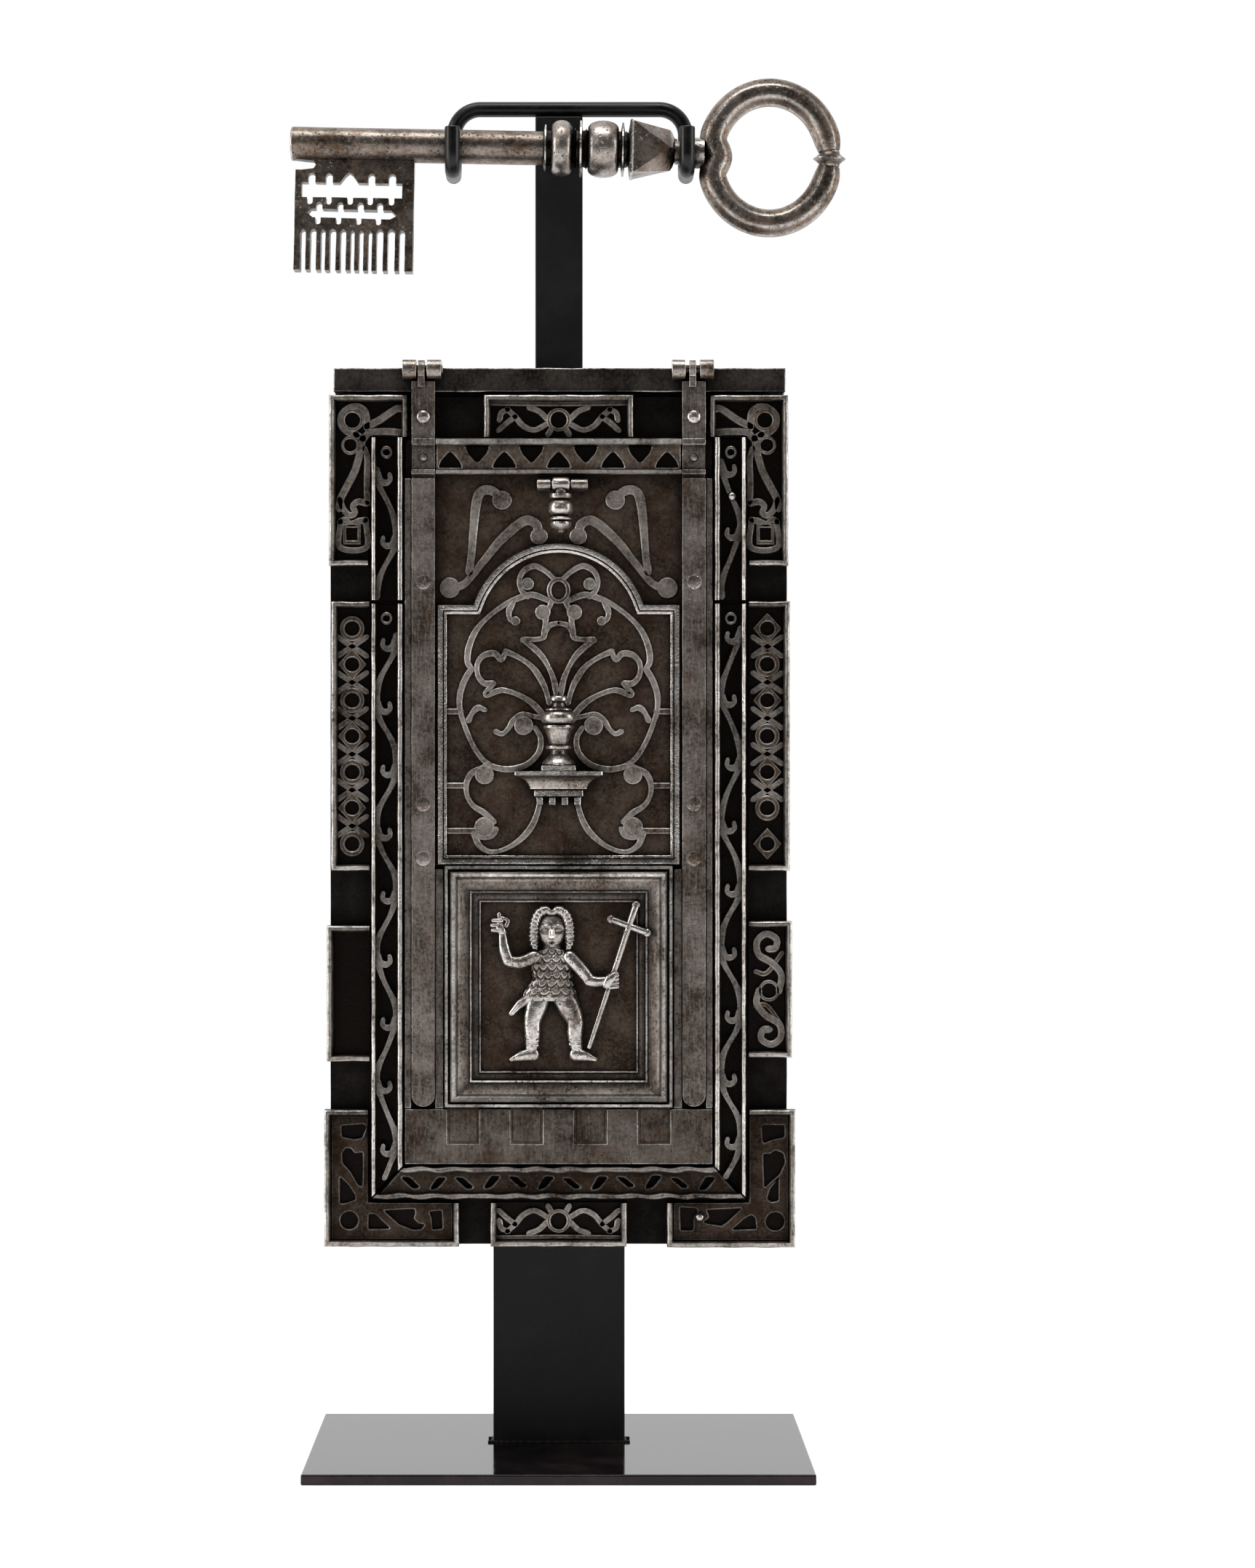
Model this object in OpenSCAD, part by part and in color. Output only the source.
// Tabernacle lock with its key, shown on a stand.
// Origin: centre of the base's underside.  +Z is up and the front faces -Y.
// A hinged cover hides the keyhole.  A sliding shutter on the cover carries
// an arched fret, a turned knob and a framed relief.

/* [Stand] */
// Width of the base plate
base_w = 93.5; // [85:0.5:110]
// Depth of the base plate
base_d = 77; // [60:1:90]
// Thickness of the base plate
base_t = 2; // [1.5:0.5:4]
// Width of the lower post
post_w = 25; // [15:1:30]
// Thickness of the lower post
post_t = 5; // [4:1:8]
// Width of the upper post
rise_w = 9; // [6:1:12]
// Thickness of the upper post
rise_t = 3; // [2:0.5:5]
// Height of the upper post's top
rise_top = 254.5; // [252:0.1:254.5]
// Diameter of the bracket's wire
wire_d = 2.9; // [2.4:0.1:3]

/* [Case] */
// Half width of the case
case_hw = 42; // [41.5:0.1:42]
// Height of the case's bottom edge
case_lo = 42.5; // [38:0.5:43]
// Height of the case's top edge
case_hi = 198.5; // [198:0.1:199]
// Depth of the case from its back to the front plate's face
case_d = 26; // [26:0.5:30]
// Thickness of the case's sheet
sheet_t = 1.5; // [1:0.1:1.6]
// Depth of the front ornaments' raised rims
rim_d = 3.2; // [2:0.2:3.6]

/* [Cover] */
// Half width of the hinged cover
cover_hw = 28.2; // [27.5:0.1:28.4]
// Height of the cover's lower edge
cover_lo = 57.5; // [57.4:0.1:58]
// Height of the cover's top edge
cover_hi = 190.5; // [190:0.1:190.6]
// Thickness of the cover plate
cover_t = 1.5; // [1:0.1:1.6]
// Distance of each strap's middle from the centre line
strap_x = 24.8; // [24.8:0.05:25]
// Width of a strap
strap_w = 4.2; // [4:0.1:4.3]
// Height of the hinge pins' axis
pin_z = 203.2; // [203:0.1:203.4]
// Radius of the hinge pins
pin_r = 0.8; // [0.6:0.05:0.9]

/* [Shutter] */
// Half width of the arched field
arch_hw = 22.2; // [22:0.05:22.3]
// Outer radius of the arch
arch_r = 16.4; // [15:0.1:17]
// Height of the arch's centre
arch_z = 154.9; // [153:0.1:156]
// Half width of the relief frame
relief_hw = 20.9; // [20:0.1:21]
// Width of one castellation
tooth_w = 5.7; // [5:0.1:5.8]

/* [Key] */
// Height of the key's axis over the stand
key_z = 247.4; // [247.4:0.1:249]
// Tilt of the resting key in degrees
key_tilt = 1; // [0:0.1:1.2]
// Radius of the key's shank
shank_r = 3.2; // [3:0.05:3.2]
// Thickness of the bit at the shank
bit_t = 2.6; // [2:0.1:3]
// Thickness of the bit at its foot
bit_foot = 4.8; // [3:0.1:5]

/* [Hidden] */
$fn = 48;

// Depths: every value is a Y, and the front is the lower number.
e = 0.01;
y_face = -case_d;
y_rim = y_face - rim_d;
y_floor = y_face - 0.5;
y_fret = y_face - 1.5;
y_border = y_face - 4.2;
y_cback = y_face - 0.1;
y_cover = y_cback - cover_t;
y_scroll = y_cover - 0.4;
y_sback = y_cover - 0.5;
y_shut = y_sback - 0.7;
y_sfret = y_shut - 0.6;
y_strip = y_shut - 1.2;
y_strap = y_cover - 2.4;
y_comb = y_cover - 1.9;
y_pin = y_face - 3.5;
y_knob = y_shut - 4.4;
y_drop = y_face - 6.6;
y_key = -5.9;
y_wire = 1.5;
y_tip = -10.85;
z_bar = 256;
z_hook = 242.85;
z_tip = 250.8;
x_hook_l = -20;
x_hook_r = 24.1;
top_bend = 5;
hook_bend = 3;
z_drop = 181.9;
x_drop = 0.4;
groove = 0.8;
z_bolt = 150;
x_staple = 20.25;
staple_w = 2.5;
y_eye = -18.5;
z_key = 125;
rivet_r = 1.3;

steel = [0.62, 0.61, 0.60];
iron = [0.30, 0.28, 0.27];
dark = [0.12, 0.11, 0.11];
bright = [0.75, 0.74, 0.72];

// ---- drawing helpers ----

// Turns a flat outline drawn in X and Z into a plate between two depths.
module plate(back, front) {
    translate([0, back, 0]) rotate([90, 0, 0]) linear_extrude(back - front) children();
}

// A rectangle between two corners.
module field(x0, z0, x1, z1) {
    translate([x0, z0]) square([x1 - x0, z1 - z0]);
}

// A block between two corners.
module block(a, b) {
    translate(a) cube(b - a);
}

// A round bar along X.
module bar_x(x0, x1, r) {
    translate([x0, 0, 0]) rotate([0, 90, 0]) cylinder(h = x1 - x0, r = r);
}

// Points of a smooth curve through p, n steps to a span.
function spline(p, n = 5) = [
    for (i = [0 : len(p) - 2])
        let (a = p[max(i - 1, 0)], b = p[i], c = p[i + 1], d = p[min(i + 2, len(p) - 1)])
            for (k = [0 : (i == len(p) - 2 ? n : n - 1)])
                let (t = k / n)
                    0.5 * (2 * b + (c - a) * t + (2 * a - 5 * b + 4 * c - d) * t * t
                        + (3 * b - a - 3 * c + d) * t * t * t)
];

// A flat ribbon of even width along a smooth curve, with round ends.
module stroke(p, w = 0.9, n = 5) {
    q = spline(p, n);
    last = len(q) - 1;
    side = [for (i = [0 : last])
        let (d = q[min(i + 1, last)] - q[max(i - 1, 0)]) [-d[1], d[0]] * (w / 2 / norm(d))];
    polygon(concat([for (i = [0 : last]) q[i] + side[i]], [for (i = [last : -1 : 0]) q[i] - side[i]]));
    for (i = [0, last]) translate(q[i]) circle(d = w, $fn = 16);
}

module ball(p, r) {
    translate(p) circle(r = r, $fn = 20);
}

// A flat outline and its mirror image.
module both() {
    children();
    mirror([1, 0]) children();
}

// A solid and its mirror image.
module both_sides() {
    children();
    mirror([1, 0, 0]) children();
}

// A wavy ribbon along Z with leaf-shaped bulges, for a pierced border.
module wave(z0, z1, x, amp, pitch, w) {
    n = round((z1 - z0) / pitch * 12);
    s = [for (i = [0 : n]) z0 + (z1 - z0) * i / n];
    function mid(z) = x + amp * sin(360 * (z - z0) / pitch);
    function half(z) = w * (0.62 + 0.38 * cos(720 * (z - z0) / pitch));
    polygon(concat([for (z = s) [mid(z) - half(z), z]],
                   [for (i = [n : -1 : 0]) [mid(s[i]) + half(s[i]), s[i]]]));
}

// ---- stand ----

module stand_base() {
    color(dark) translate([-base_w / 2, -base_d / 2, 0]) cube([base_w, base_d, base_t]);
}

module stand_post() {
    color(dark) translate([-post_w / 2, 0, base_t]) cube([post_w, post_t, case_hi - 8 - base_t]);
}

module stand_rise() {
    color(dark) translate([-rise_w / 2, 0, case_hi - 8]) cube([rise_w, rise_t, rise_top - case_hi + 8]);
}

// A quarter bend of wire in the XZ plane, from +X up to +Z.
module elbow(bend) {
    rotate([90, 0, 0]) rotate_extrude(angle = 90) translate([bend, 0]) circle(r = wire_d / 2);
}

// One hook: down from the top bar, forward under the key and up in front of it.
module hook(side) {
    r = wire_d / 2;
    depth = y_wire - y_tip;
    translate([0, y_wire, 0]) {
        translate([side * top_bend, 0, z_bar - top_bend]) mirror([side > 0 ? 1 : 0, 0, 0]) elbow(top_bend);
        translate([0, 0, z_hook + hook_bend])
            cylinder(h = z_bar - top_bend - z_hook - hook_bend, r = r);
        translate([0, -hook_bend, z_hook + hook_bend])
            mirror([0, 0, 1]) rotate([0, 0, 90]) elbow(hook_bend);
        translate([0, -hook_bend, z_hook]) rotate([90, 0, 0]) cylinder(h = depth - 2 * hook_bend, r = r);
        translate([0, hook_bend - depth, z_hook + hook_bend])
            mirror([0, 0, 1]) rotate([0, 0, -90]) elbow(hook_bend);
        translate([0, -depth, z_hook + hook_bend]) cylinder(h = z_tip - z_hook - hook_bend, r = r);
    }
}

// Bent wire: a top bar and two hooks that hold the key.
module key_bracket() {
    color(dark) {
        translate([x_hook_l, 0, 0]) hook(1);
        translate([x_hook_r, 0, 0]) hook(-1);
        translate([0, y_wire, z_bar]) bar_x(x_hook_l + top_bend, x_hook_r - top_bend, wire_d / 2);
    }
}

module mount_screws() {
    color(dark)
        for (z = [75, 165])
            translate([0, post_t, z]) rotate([-90, 0, 0]) cylinder(h = 1.6, r = 3);
}

// ---- case ----

module case_back() {
    color(iron) plate(0, -sheet_t) field(-case_hw, case_lo, case_hw, case_hi);
}

module case_walls() {
    color(iron) plate(-sheet_t, y_face + sheet_t) difference() {
        field(-case_hw, case_lo, case_hw, case_hi);
        field(-case_hw + sheet_t, case_lo + sheet_t, case_hw - sheet_t, case_hi - sheet_t);
    }
}

module keyhole() {
    top = bit_t / 2 + 0.4;
    low = bit_foot / 2 + 0.4;
    translate([0, z_key]) circle(r = shank_r + 0.5);
    translate([0, z_key]) polygon([[-top, 0], [-low, -24.6], [low, -24.6], [top, 0]]);
}

module front_plate() {
    slot = staple_w / 2 + 0.4;
    color(iron) plate(y_face + sheet_t, y_face) difference() {
        field(-case_hw, case_lo, case_hw, case_hi);
        keyhole();
        for (s = [-1, 1])
            field(s * x_staple - slot, z_bolt - 5.8, s * x_staple + slot, z_bolt + 4.1);
    }
}

// The heavy top bar sits on a narrower spacer, which leaves a dark gap at the front.
module top_bar() {
    color(dark) difference() {
        union() {
            block([-41.4, y_face - 1.4, case_hi + 0.8], [41.7, -1, 203.7]);
            block([-38, y_face + 2, case_hi], [38, -3, case_hi + 0.8 + e]);
        }
        translate([41.7, -40, 203.7]) rotate([0, -22, 0]) cube([10, 50, 10], center = false);
    }
}

module case_pillars() {
    color(iron)
        for (x = [-37, 37], z = [60, 185])
            translate([x, -sheet_t, z]) rotate([90, 0, 0]) cylinder(h = case_d - 2 * sheet_t, r = 2);
}

module bolt_keepers() {
    color(iron)
        for (x = [-16.25, 14.25])
            translate([x - 1.75, 0, z_bolt]) difference() {
                block([0, -14.8, -4.5], [3.5, -sheet_t, 4.5]);
                block([-1, -13.3, -3.3], [4.5, -9.7, 3.3]);
                block([-1, -16, -2.1], [4.5, -13, 2.1]);
            }
}

// Fixed wards stand between the key's teeth, on one curved spine.
module ward_comb() {
    color(steel) translate([0, -sheet_t, z_key]) rotate([90, 0, 0]) intersection() {
        union() {
            linear_extrude(21) difference() {
                circle(r = 26);
                circle(r = 24.4);
            }
            for (i = [0 : 5])
                translate([0, 0, 2.2 + i * 3.5]) linear_extrude(0.7) difference() {
                    circle(r = 25);
                    circle(r = 18);
                }
        }
        translate([-26, -22, -1]) cube([16, 14, 30]);
    }
}

module lock_bolt() {
    color(steel) translate([0, 0, z_bolt]) {
        difference() {
            block([-31, -13, -3], [17, -10, 3]);
            block([-4, -14, -3.1], [4, -9, -1.4]);
        }
        for (x = [-31, 10]) {
            block([x, y_eye - 1.7, -1.7], [x + 2, -13 + e, 1.7]);
            translate([0, y_eye, 0]) bar_x(x + 2 - e, x + (x < 0 ? 8.5 : 8), 1.7);
        }
    }
}

// ---- fixed trays ----

// A shallow tray: the first outline is its floor, and the second is the hollow inside its rim.
module tray() {
    color(bright) {
        plate(y_face, y_floor) children(0);
        plate(y_floor + e, y_rim) difference() {
            children(0);
            children(1);
        }
    }
}

module l_field(x_out, x_in, x_leg, z_out, z_in, z_leg) {
    polygon([[x_out, z_out], [x_in, z_out], [x_in, z_leg], [x_leg, z_leg], [x_leg, z_in], [x_out, z_in]]);
}

module tray_top_left() {
    tray() {
        l_field(-42.1, -27.7, -35.0, 198.6, 167.3, 190.9);
        l_field(-41.1, -28.7, -34.9, 197.6, 168.3, 190.8);
    }
}

module tray_top_right() {
    tray() {
        l_field(42.1, 27.7, 35.0, 198.6, 167.3, 190.9);
        l_field(41.1, 28.7, 34.9, 197.6, 168.3, 190.8);
    }
}

module tray_bottom_left() {
    tray() {
        l_field(-43, -18.3, -35.3, 42.3, 67.4, 50.3);
        l_field(-42, -19.3, -35.2, 43.3, 66.4, 50.4);
    }
}

module tray_bottom_right() {
    tray() {
        l_field(43.4, 19.9, 35.3, 42.1, 67.4, 50.3);
        l_field(42.4, 20.9, 35.2, 43.1, 66.4, 50.4);
    }
}

module side_tray(x_out, x_in, z0, z1) {
    s = sign(x_out);
    tray() {
        field(min(x_out, x_in), z0, max(x_out, x_in), z1);
        field(min(x_out - s, x_in - s), z0 + 1, max(x_out - s, x_in - s), z1 - 1);
    }
}

module tray_mid_left() {
    side_tray(-41.7, -34.7, 111.3, 160.7);
}

module tray_mid_right() {
    side_tray(42.4, 34.9, 111.3, 160.7);
}

module tray_low_left() {
    side_tray(-42.5, -34.7, 76.3, 101.2);
}

module tray_low_right() {
    side_tray(42.8, 34.9, 77, 102);
}

module tray_top() {
    tray() {
        field(-13.7, 190.9, 13.7, 198.6);
        field(-12.7, 190.8, 12.7, 197.6);
    }
}

module tray_bottom() {
    tray() {
        field(-12.5, 42.3, 12.5, 50.3);
        field(-11.5, 43.3, 11.5, 50.4);
    }
}

module frets_top_corner() {
    color(steel) plate(y_floor, y_fret) difference() {
        both() l_field(-41, -28.8, -35.1, 197.5, 168.4, 191);
        both() {
            translate([-38, 194]) circle(r = 1.9);
            translate([-37.8, 189.4]) circle(r = 1.2);
            translate([-38.8, 182]) circle(r = 1.2);
            field(-40, 171.2, -36, 175.6);
            translate([-32.5, 194.3]) circle(r = 1.3);
        }
    }
}

module frets_bottom_corner() {
    color(steel) plate(y_floor, y_fret) difference() {
        both() l_field(-41.9, -21, -35.3, 43.4, 66.3, 50.3);
        both() {
            translate([-38.6, 62]) circle(r = 1.3);
            translate([-38.8, 54.5]) circle(r = 1.3);
            translate([-37, 48]) circle(r = 1.2);
            translate([-30.5, 46.8]) circle(r = 1.3);
            translate([-24.5, 46.8]) circle(r = 1.3);
        }
    }
}

// Alternating rings and lozenges, each with a round hole.
module frets_mid() {
    pitch = 6.6;
    color(steel) plate(y_floor, y_fret) both() difference() {
        union() {
            for (i = [0 : 6])
                translate([-37.7, 116.2 + i * pitch])
                    if (i % 2 == 0) rotate(45) square(4.3, center = true);
                    else circle(r = 2.4);
            field(-38.3, 112.5, -37.1, 159.5);
        }
        for (i = [0 : 6]) translate([-37.7, 116.2 + i * pitch]) circle(r = 1.3);
    }
}

module fret_low() {
    color(steel) plate(y_floor, y_fret) difference() {
        field(35.1, 78.2, 41.6, 100.8);
        translate([38.8, 89.2]) circle(r = 1.5);
        translate([38.8, 95.6]) circle(r = 1.5);
        translate([38.8, 82.6]) circle(r = 1.5);
    }
}

module frets_centre() {
    color(steel) plate(y_floor, y_fret) difference() {
        union() {
            field(-12.4, 191, 12.4, 197.4);
            field(-11.3, 43.5, 11.3, 50.2);
        }
        for (x = [-7, 0, 7]) {
            translate([x, 193.6]) circle(r = x == 0 ? 1.9 : 1.4);
            translate([x, 47]) circle(r = 1.4);
        }
    }
}

module tray_rivets() {
    color(bright)
        for (p = [[25.9, y_fret, 47.6], [31.8, y_border + 1.6, 180]])
            translate(p) rotate([90, 0, 0]) cylinder(h = 0.9, r = 0.8);
}

// ---- fixed border ----

// A channel with a floor, two rails and a wavy pierced strip between them.
module border(z0, z1, amp) {
    rail = 0.9;
    x0 = 28.6;
    x1 = 34.5;
    color(steel) {
        plate(y_face, y_floor) field(x0, z0, x1, z1);
        plate(y_floor + e, y_border) {
            field(x0, z0, x0 + rail, z1);
            field(x1 - rail, z0, x1, z1);
        }
        plate(y_floor + e, y_border + 1.6) intersection() {
            wave(z0, z1, (x0 + x1) / 2, amp, 13, 0.8);
            field(x0 + rail + 0.1, z0 + 0.1, x1 - rail - 0.1, z1 - 0.1);
        }
    }
}

module border_upper_left() {
    mirror([1, 0, 0]) border(160.9, 190.7, 1.3);
}

module border_upper_right() {
    border(160.9, 190.7, 1.3);
}

// The long sides end in a mitre at the lower corners.
module border_side() {
    difference() {
        border(51, 160.2, 1.3);
        translate([28.6, 0, 57.2]) rotate([0, 45, 0]) translate([0, -40, -30]) cube([30, 40, 30]);
    }
}

module border_left() {
    mirror([1, 0, 0]) border_side();
}

module border_right() {
    border_side();
}

module border_bottom() {
    gap = 0.25;
    color(steel) {
        plate(y_face, y_floor)
            polygon([[-34.5 + gap, 51], [34.5 - gap, 51], [28.6 - gap, 57], [-28.6 + gap, 57]]);
        plate(y_floor + e, y_border) {
            polygon([[-34.5 + gap, 51], [34.5 - gap, 51], [33.6 - gap, 51.9], [-33.6 + gap, 51.9]]);
            polygon([[-29.5 + gap, 56.1], [29.5 - gap, 56.1], [28.6 - gap, 57], [-28.6 + gap, 57]]);
        }
        plate(y_floor + e, y_border + 1.6) intersection() {
            translate([-29, 54]) rotate(-90) wave(0, 58, 0, 1.2, 11.6, 0.8);
            field(-29, 52, 29, 56);
        }
    }
}

// ---- hinges ----

module hinge_lugs() {
    color(bright) difference() {
        for (x = [[-28.6, -26.1], [-24.1, -21.5], [20.8, 23.2], [25.9, 28.4]]) {
            translate([0, y_pin, pin_z]) bar_x(x[0], x[1], 1.8);
            block([x[0], y_pin, pin_z - 1.8], [x[1], y_face - 1.4, pin_z + 1.8]);
        }
        translate([0, y_pin, pin_z]) bar_x(-40, 40, pin_r);
    }
}

module hinge_pins() {
    color(steel) translate([0, y_pin, pin_z])
        for (x = [-25.05, 24.6]) bar_x(x - 3.55, x + 3.8, pin_r);
}

// ---- cover ----

module cover_plate() {
    color(iron) plate(y_cback, y_cover) field(-cover_hw, cover_lo, cover_hw, cover_hi);
}

// A strap: hinge tongue, short upper leg, moulded cell and long leg with a grooved inner edge.
module strap(x_tongue) {
    x0 = strap_x - strap_w / 2;
    x1 = strap_x + strap_w / 2;
    color(steel) difference() {
        union() {
            block([x0, y_strap, cover_hi], [x1, y_cover, 201]);
            block([x_tongue - 0.6, y_pin - 1.2, 200], [x_tongue + 0.6, y_pin + 1.2, pin_z]);
            translate([0, y_pin, pin_z]) bar_x(x_tongue - 0.6, x_tongue + 0.6, 1.7);
            block([x0, y_cover - 1.6, 183.2], [x1, y_cover, cover_hi + e]);
            block([x0, y_strap - 0.2, 189.4], [x1, y_cover, 190.5]);
            block([x0, y_strap - 0.2, 184], [x1, y_cover, 184.8]);
            block([x0, y_strap, 70.2], [x1, y_cover, 183.2 + e]);
            plate(y_cover, y_strap) translate([strap_x, 70.2]) circle(r = strap_w / 2);
        }
        translate([0, y_pin, pin_z]) bar_x(x_tongue - 2, x_tongue + 2, pin_r + 0.05);
        block([x0 - 1, y_shut - 0.2, 111.8], [x0 + groove + 0.15, y_cover + 1, 168]);
        translate([strap_x, y_cover - 1.1, 187.1]) rotate([90, 0, 0]) cylinder(h = 2, r = 0.8);
        for (z = [194.5, 164.2, 123.5, 113.5])
            translate([strap_x, y_strap + 0.4, z]) rotate([90, 0, 0]) cylinder(h = 2, r = rivet_r);
    }
}

module strap_left() {
    mirror([1, 0, 0]) strap(25.15);
}

module strap_right() {
    strap(24.55);
}

module strap_rivets() {
    color(bright) both_sides() {
        translate([strap_x, y_cover - 1.1, 187.1]) rotate([90, 0, 0]) cylinder(h = 0.9, r = 0.8);
        for (z = [194.5, 164.2, 123.5, 113.5])
            translate([strap_x, y_strap + 0.4, z]) rotate([90, 0, 0])
                cylinder(h = z > 190 ? 1 : 0.4, r = rivet_r);
    }
}

module cross_band() {
    hw = strap_x - strap_w / 2 - 0.2;
    color(steel) {
        plate(y_cover, y_cover - 0.5) field(-hw, 184, hw, 190.5);
        plate(y_cover, y_strap - 0.2) {
            field(-hw, 189.4, hw, 190.5);
            field(-hw, 184, hw, 184.8);
        }
        plate(y_cover - 0.4, y_cover - 1.6) intersection() {
            translate([-hw, 187.1]) rotate(-90) wave(0, 2 * hw, 0, 1.3, 11.25, 0.8);
            field(-hw, 184.9, hw, 189.3);
        }
    }
}

module cover_scrolls() {
    color(steel) plate(y_cover, y_scroll) offset(delta = 0.02) both() {
        stroke([[-10.4, 179.7], [-13.7, 181.3], [-15.1, 179], [-16, 169.5], [-16.4, 166.2]], 1.6);
        ball([-10.4, 179.5], 1.8);
        stroke([[-3.6, 172.9], [-6.4, 175.5], [-10.4, 172.2], [-13.7, 168.2], [-17, 164.2], [-19.8, 163.3]], 1.6);
        ball([-3.6, 172.9], 1.5);
        ball([-20, 163.2], 1.8);
    }
}

module comb_plate() {
    color(steel) plate(y_cover, y_comb) difference() {
        field(-cover_hw, cover_lo, cover_hw, 67.6);
        for (s = [-1, 1]) {
            for (x = [5.85, 17.5])
                field(s * x - tooth_w / 2 - 0.1, 61.2, s * x + tooth_w / 2 + 0.1, 68);
            translate([s * strap_x, 70.2]) circle(r = strap_w / 2 + 0.1);
        }
    }
}

module side_strips() {
    color(steel) plate(y_cover, y_comb) both() {
        field(27.05, 67.8, cover_hw, 183.2);
        field(21.15, 67.8, 22.6, 111.6);
    }
}

module drop_lugs() {
    color(bright) {
        for (x = [[-3.9, -1.5], [2.3, 5.3]]) {
            block([x[0], y_drop, z_drop - 0.95], [x[1], y_cover, z_drop + 0.95]);
            translate([0, y_drop, z_drop]) bar_x(x[0], x[1], 0.95);
        }
        translate([0, y_drop, z_drop]) bar_x(-1.6, 2.4, 0.5);
    }
}

// Two staples behind the cover reach through the front plate to meet the bolt.
module cover_staples() {
    color(steel) difference() {
        for (s = [-1, 1])
            block([s * x_staple - staple_w / 2, y_cback, z_bolt - 3.5],
                  [s * x_staple + staple_w / 2, y_eye + 3, z_bolt + 3.5]);
        translate([0, y_eye, z_bolt]) bar_x(-40, 40, 2);
    }
}

// A small turned drop hanging on its pin.
module drop_pull() {
    color(bright) difference() {
        union() {
            translate([0, y_drop, z_drop]) bar_x(x_drop - 1.6, x_drop + 1.6, 1.3);
            translate([x_drop, y_drop, 0]) rotate_extrude() polygon([
                [0, 181.5], [1.2, 181.5], [1.2, 180.4], [2.1, 180.2], [2.1, 179.5], [1.6, 179.2],
                [1.9, 178.8], [2.3, 178.2], [2.3, 177.2], [2, 176.5], [1.3, 176.1], [2, 175.9],
                [2, 175.5], [1.4, 175.3], [1.9, 174.9], [1.7, 174.2], [0.9, 173.7], [0.7, 173.1], [0, 173]]);
        }
        translate([0, y_drop, z_drop]) bar_x(-6, 6, 0.55);
    }
}

// ---- shutter ----

module shutter_plate() {
    color(iron) {
        plate(y_sback, y_shut) {
            field(-relief_hw, 67.8, relief_hw, 113);
            field(-arch_hw - 1.2, 112.3, arch_hw + 1.2, 158.4);
            field(-arch_hw, 158, arch_hw, 160);
            translate([0, arch_z]) circle(r = arch_r);
        }
        plate(y_sback, y_comb) both()
            for (x = [5.85, 17.5]) field(x - tooth_w / 2, 61.3, x + tooth_w / 2, 67.9);
    }
}

module arch_frame() {
    strip = 1.75;
    color(bright) plate(y_shut, y_strip) difference() {
        union() {
            field(-arch_hw, 112.4, arch_hw, 160);
            translate([0, arch_z]) circle(r = arch_r);
        }
        field(-arch_hw + strip, 114.1, arch_hw - strip, 158.4);
        translate([0, arch_z]) circle(r = arch_r - 1.6);
    }
}

// Interlaced scrollwork rising from the knob, mirrored about the centre line.
module arch_fret() {
    w = 0.85;
    z0 = 114;
    color(steel) plate(y_shut, y_sfret) translate([0, z0]) offset(delta = 0.02) {
        both() {
            stroke([[1.7, 46.8], [4.7, 47.9], [10, 46], [13.1, 43.7], [15.3, 41.1], [16.5, 38.1], [16, 34.3],
                    [18.1, 29.5], [17.3, 24.1], [14.4, 18.3], [9.1, 15.9], [5, 17.3], [3.3, 21.6]], w);
            stroke([[0.8, 50.8], [2.5, 52.3], [4.5, 53.2], [6.9, 51.5], [6.8, 48.7], [5.7, 47.6]], w);
            stroke([[1.7, 28], [4.7, 34.5], [9.7, 37.5], [10.5, 36], [13.7, 36.8], [14.8, 33.1], [12, 31.6],
                    [13.3, 29.6], [10.4, 30.4], [4.8, 28], [2.7, 25.7]], w);
            stroke([[0.3, 29.6], [2.7, 36.1], [6.5, 39.6], [3.1, 39.9], [0, 42.7]], w);
            stroke([[2.4, 25.2], [6.7, 25.9], [9.1, 23.5], [11.5, 22.8]], w);
            stroke([[8.3, 46.5], [9.1, 44.9], [7.9, 43.1]], w);
            stroke([[12.8, 16.9], [16, 15.1], [16.9, 11.9], [13.6, 7.9], [11.9, 6.3]], w);
            stroke([[15.5, 4.1], [12.3, 0.7], [6.5, 3.5], [3.7, 8.7], [3.5, 10.5]], w);
            ball([6.4, 23.9], 1.7);
            ball([5.7, 49.9], 1.1);
            ball([2.9, 44.7], 1.4);
            ball([13.6, 14.9], 1.8);
            ball([13.6, 5.3], 1.8);
            field(17.6, 25.9, arch_hw - 1.75, 27.1);
            field(16.8, 12.3, arch_hw - 1.75, 13.5);
        }
        difference() {
            translate([0, 48.7]) circle(r = 2.1, $fn = 24);
            translate([0, 48.7]) circle(r = 1.2, $fn = 24);
        }
    }
}

module knob_bracket() {
    color(bright) {
        for (s = [[8, 128.7, 129.5, 7.6], [5.6, 126.2, 128.7, 5.8], [4.4, 124.8, 126.2, 4.6]])
            block([-s[0], y_shut - s[3], s[1]], [s[0], y_sfret - 0.1, s[2]]);
        block([-1.5, y_sfret - 0.2, 125.2], [1.5, y_shut, 128.4]);
        for (x = [-3.45, -1.15, 1.15, 3.45]) block([x - 0.55, y_sfret - 3.6, 123.3], [x + 0.55, y_sfret - 0.1, 124.8]);
    }
}

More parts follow.
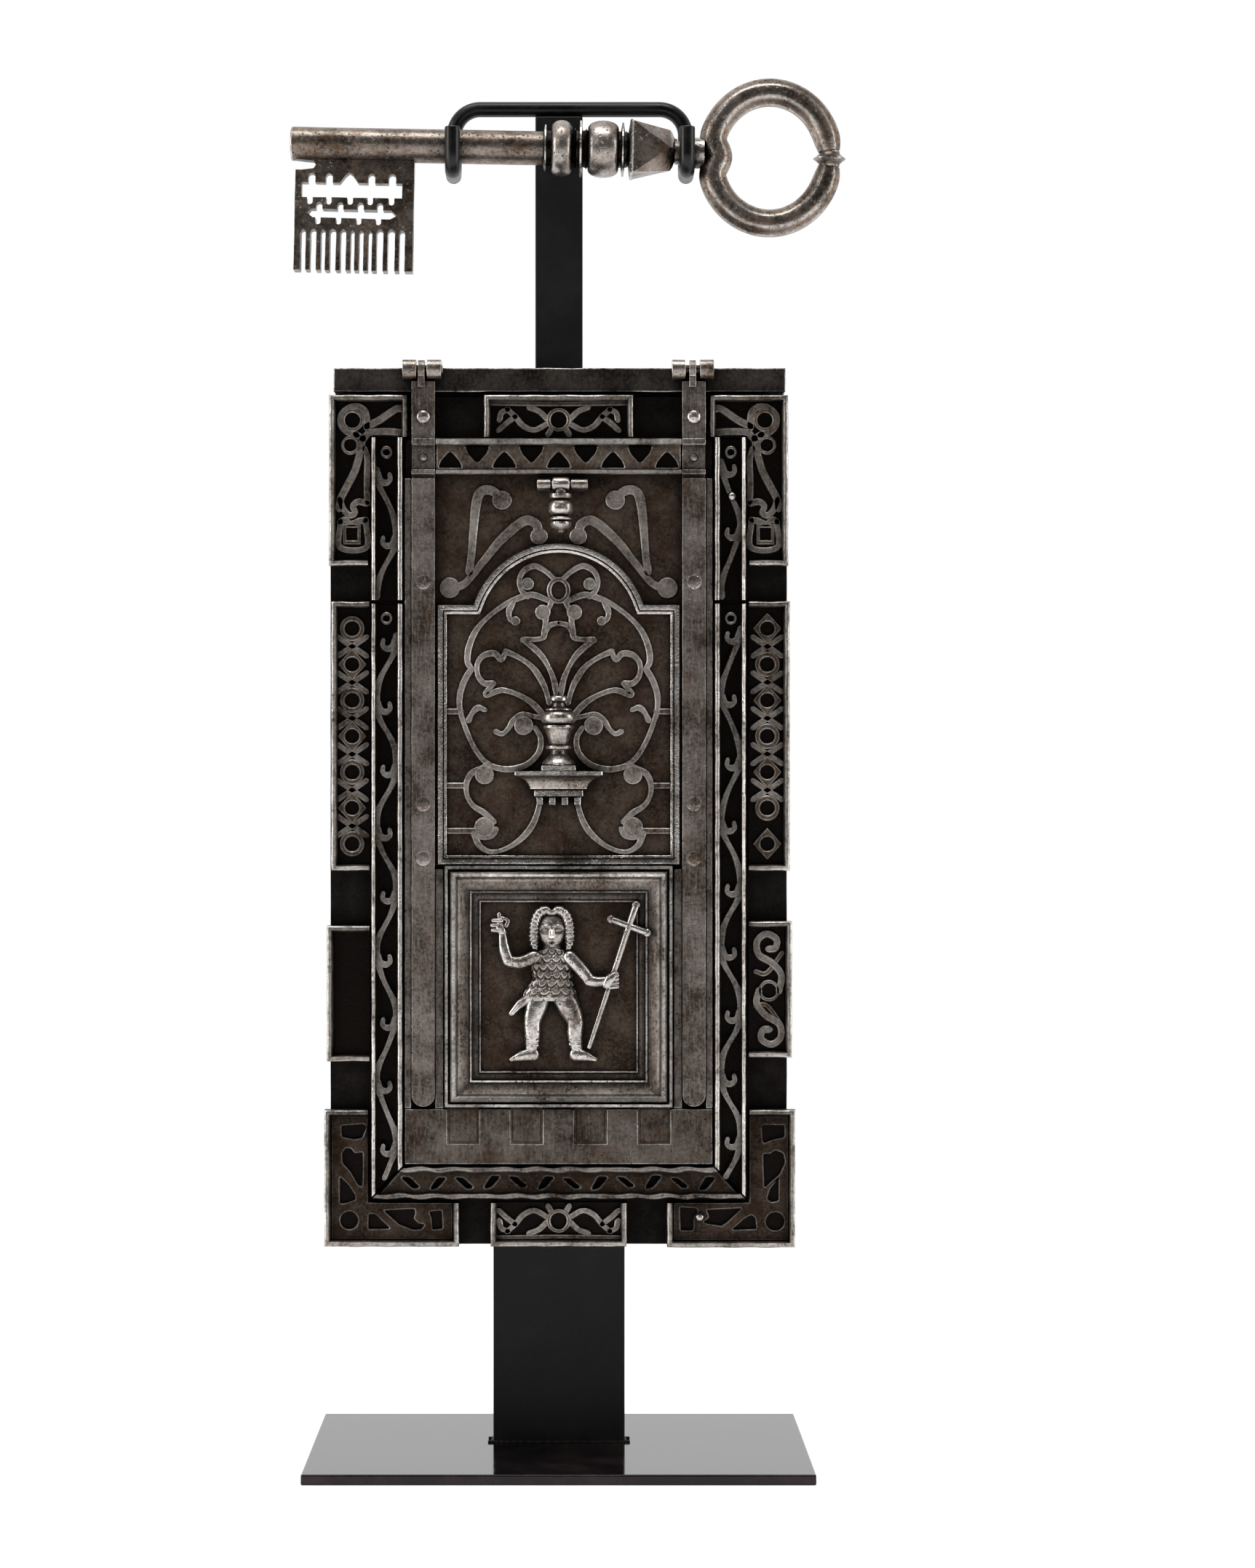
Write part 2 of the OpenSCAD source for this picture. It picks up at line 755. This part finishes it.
// A turned vase with its button.
module vase_knob() {
    color(bright) translate([0, y_knob, 0]) {
        translate([-3.1, -3.1, 129.5]) cube([6.2, 6.2, 1.3]);
        rotate_extrude() polygon([
            [0, 130.7], [3, 130.8], [2.6, 131.8], [1.5, 132.9], [1.4, 133.5], [2.3, 133.6], [2.3, 134.1],
            [1.6, 134.3], [2, 135.6], [2.4, 137.1], [2.7, 137.3], [2.7, 137.8], [2.2, 138], [3.1, 138.5],
            [3.3, 139.2], [3, 140], [2.4, 140.5], [2.5, 140.8], [1.2, 141.1], [1.1, 142], [1.6, 142.3],
            [1.5, 143], [0.8, 143.4], [0, 143.4]]);
    }
}

// A stepped square moulding with mitred corners.
module relief_frame() {
    steps = [[0, 0.9, 1.6], [0.9, 2.2, 2.9], [2.2, 3.6, 2.2], [3.6, 5.2, 1.2], [5.2, 6.7, 0.7]];
    z0 = 67.9;
    z1 = 112.2;
    color(steel)
        for (s = steps)
            plate(y_shut, y_shut - s[2]) difference() {
                field(-relief_hw + s[0], z0 + s[0], relief_hw - s[0], z1 - s[0]);
                field(-relief_hw + s[1], z0 + s[1], relief_hw - s[1], z1 - s[1]);
            }
}

// A small standing figure in a scaled tunic, of plain design.
module relief_figure() {
    color(bright) {
        plate(y_shut, y_shut - 1.6) offset(delta = 0.02) {
            ball([-1.4, 100.4], 3);
            polygon([[-4.5, 96], [2, 96], [3.2, 88], [-6.2, 87.6]]);
            stroke([[-4.2, 95], [-8.8, 93.8], [-10.6, 99.6], [-10.8, 102.6]], 1.8);
            stroke([[2, 95], [6, 91], [10, 91.4]], 1.8);
            stroke([[-3.1, 87.8], [-5.2, 83.2], [-4.8, 78.4], [-8.4, 76.8]], 2);
            stroke([[0.4, 87.8], [3.6, 83.2], [2.9, 78.4], [6.6, 76.8]], 2);
        }
    }
}

// The cross on its long staff, held by the figure.
module cross_staff() {
    color(bright) plate(y_shut - 1.6, y_shut - 2.3) offset(delta = 0.02) {
        stroke([[5.6, 79], [14, 104.6]], 0.8, 1);
        stroke([[9.4, 102], [16.4, 99.2]], 1, 1);
    }
}

// ---- key ----

// Places a key piece drawn along X at the height of its hooks.
module in_hooks() {
    translate([0, y_key, key_z]) rotate([0, key_tilt, 0]) children();
}

module key_shank() {
    color(steel) in_hooks() union() {
        bar_x(-50.6, -2.8, shank_r);
        bar_x(-2.9, 14, 2.4);
    }
}

// A block that tapers from a square to a smaller square turned by an eighth.
module key_block(x0, x1, half, r) {
    hull() {
        translate([x0, -half, -half]) cube([0.8, 2 * half, 2 * half]);
        translate([x1 - 0.2, 0, 0]) rotate([0, 90, 0]) linear_extrude(0.2) circle(r = r, $fn = 4);
    }
    bar_x(x1 - 0.1, 22.2, 2.3);
}

module key_collars() {
    // Each collar: start, end, radius.
    rings = [[-2.8, -2.2, 4.5], [-1.2, 2.3, 5.3], [3.6, 4.4, 5.5], [6, 11.2, 5.3], [11.6, 12.4, 5]];
    color(steel) in_hooks() difference() {
        union() {
            for (c = rings)
                if (c[1] - c[0] < 1) bar_x(c[0], c[1], c[2]);
                else rotate([0, 90, 0]) rotate_extrude() polygon([
                    [0, c[0]], [c[2] - 1.4, c[0]], [c[2] - 0.4, c[0] + 0.5], [c[2], (c[0] + c[1]) / 2],
                    [c[2] - 0.4, c[1] - 0.5], [c[2] - 1.4, c[1]], [0, c[1]]]);
            bar_x(-2.3, 13.4, 3.4);
            key_block(13.4, 21.6, 5.3, 3.8);
        }
        bar_x(-4, 14, 2.4);
    }
}

// A round-ended notch in a key bit, from one height to another.
module notch(x, from, to, w) {
    field(x - w / 2, min(from, to), x + w / 2, max(from, to));
    translate([x, to]) circle(r = w / 2, $fn = 20);
}

// The wards sawn through the bit, seen from the front.  X runs from the bit's free edge.
module bit_windows() {
    polygon([[-1, 0.3], [3.4, -0.1], [3.9, -0.8], [3.4, -1.5], [1, -1.8], [-1, -1.8]]);
    field(1.2, -7, 20.2, -4.2);
    for (x = [3.1, 6.4, 14.4, 18.3]) notch(x, -4.3, -3.1, 1.4);
    polygon([[8.3, -4.3], [9.5, -2.8], [10.2, -2.2], [10.8, -2.6], [12, -4.3]]);
    for (x = [2.8, 6.4, 10.4, 14.2, 18.2]) notch(x, -6.9, -7.8, 1.1);
    polygon([[2.4, -10], [3, -9.2], [18.2, -9.3], [19.3, -10.3], [18, -11], [3.4, -10.8]]);
    for (x = [4.6, 8.6, 12.4, 16.1]) notch(x, -9.4, -8.5, 1.2);
    for (x = [4.4, 8.3, 12.1, 15.8]) notch(x, -10.7, -11.6, 1);
}

// The bit: two rows of wards over a comb of teeth.  It grows thicker towards its foot.
module key_bit() {
    width = 22.4;
    foot = -20.8;
    comb = -13.6;
    teeth = [0.4, 2.6, 4.6, 6.3, 8.3, 10.2, 11.8, 13.5, 15.1, 17.2, 19.4, 21.6];
    color(steel) in_hooks() difference() {
        translate([-49.6, 0, -shank_r]) intersection() {
            plate(bit_foot / 2, -bit_foot / 2) difference() {
                field(0, foot, width, 1);
                bit_windows();
                for (i = [0 : len(teeth) - 2]) {
                    x0 = teeth[i] + (i == 0 ? 0.8 : 0.4);
                    x1 = teeth[i + 1] - (i == len(teeth) - 2 ? 0.7 : 0.4);
                    notch((x0 + x1) / 2, foot - 1, comb, x1 - x0);
                }
            }
            rotate([90, 0, 90]) linear_extrude(width)
                polygon([[-bit_t / 2, 1], [bit_t / 2, 1], [bit_foot / 2, foot], [-bit_foot / 2, foot]]);
        }
        bar_x(-60, -20, shank_r);
    }
}

// An oval ring of two half rings and short straights, with a lens-shaped collar at its far side.
module key_bow() {
    x = 39.8;
    z = -1.1;
    reach = 11.3;
    lift = 1.05;
    r = 2.65;
    color(steel) in_hooks() {
        bar_x(22.2, 27, 2.4);
        translate([x, 0, z]) {
            for (s = [0, 1])
                mirror([0, 0, s]) translate([0, 0, lift]) rotate([90, 0, 0])
                    rotate_extrude(angle = 180) translate([reach, 0]) circle(r = r);
            for (s = [-1, 1]) translate([s * reach, 0, -lift - e]) cylinder(h = 2 * (lift + e), r = r);
            translate([reach, 0, 0]) rotate_extrude() polygon([[0, -0.9], [3.1, 0], [0, 0.9]]);
        }
    }
}

stand_base();
stand_post();
stand_rise();
key_bracket();
mount_screws();
case_back();
case_walls();
front_plate();
top_bar();
case_pillars();
bolt_keepers();
ward_comb();
lock_bolt();
tray_top_left();
tray_top_right();
tray_bottom_left();
tray_bottom_right();
tray_mid_left();
tray_mid_right();
tray_low_left();
tray_low_right();
tray_top();
tray_bottom();
frets_top_corner();
frets_bottom_corner();
frets_mid();
fret_low();
frets_centre();
tray_rivets();
border_upper_left();
border_upper_right();
border_left();
border_right();
border_bottom();
hinge_lugs();
hinge_pins();
cover_plate();
strap_left();
strap_right();
strap_rivets();
cross_band();
cover_scrolls();
comb_plate();
side_strips();
drop_lugs();
cover_staples();
drop_pull();
shutter_plate();
arch_frame();
arch_fret();
vase_knob();
knob_bracket();
relief_frame();
relief_figure();
cross_staff();
key_shank();
key_bit();
key_collars();
key_bow();
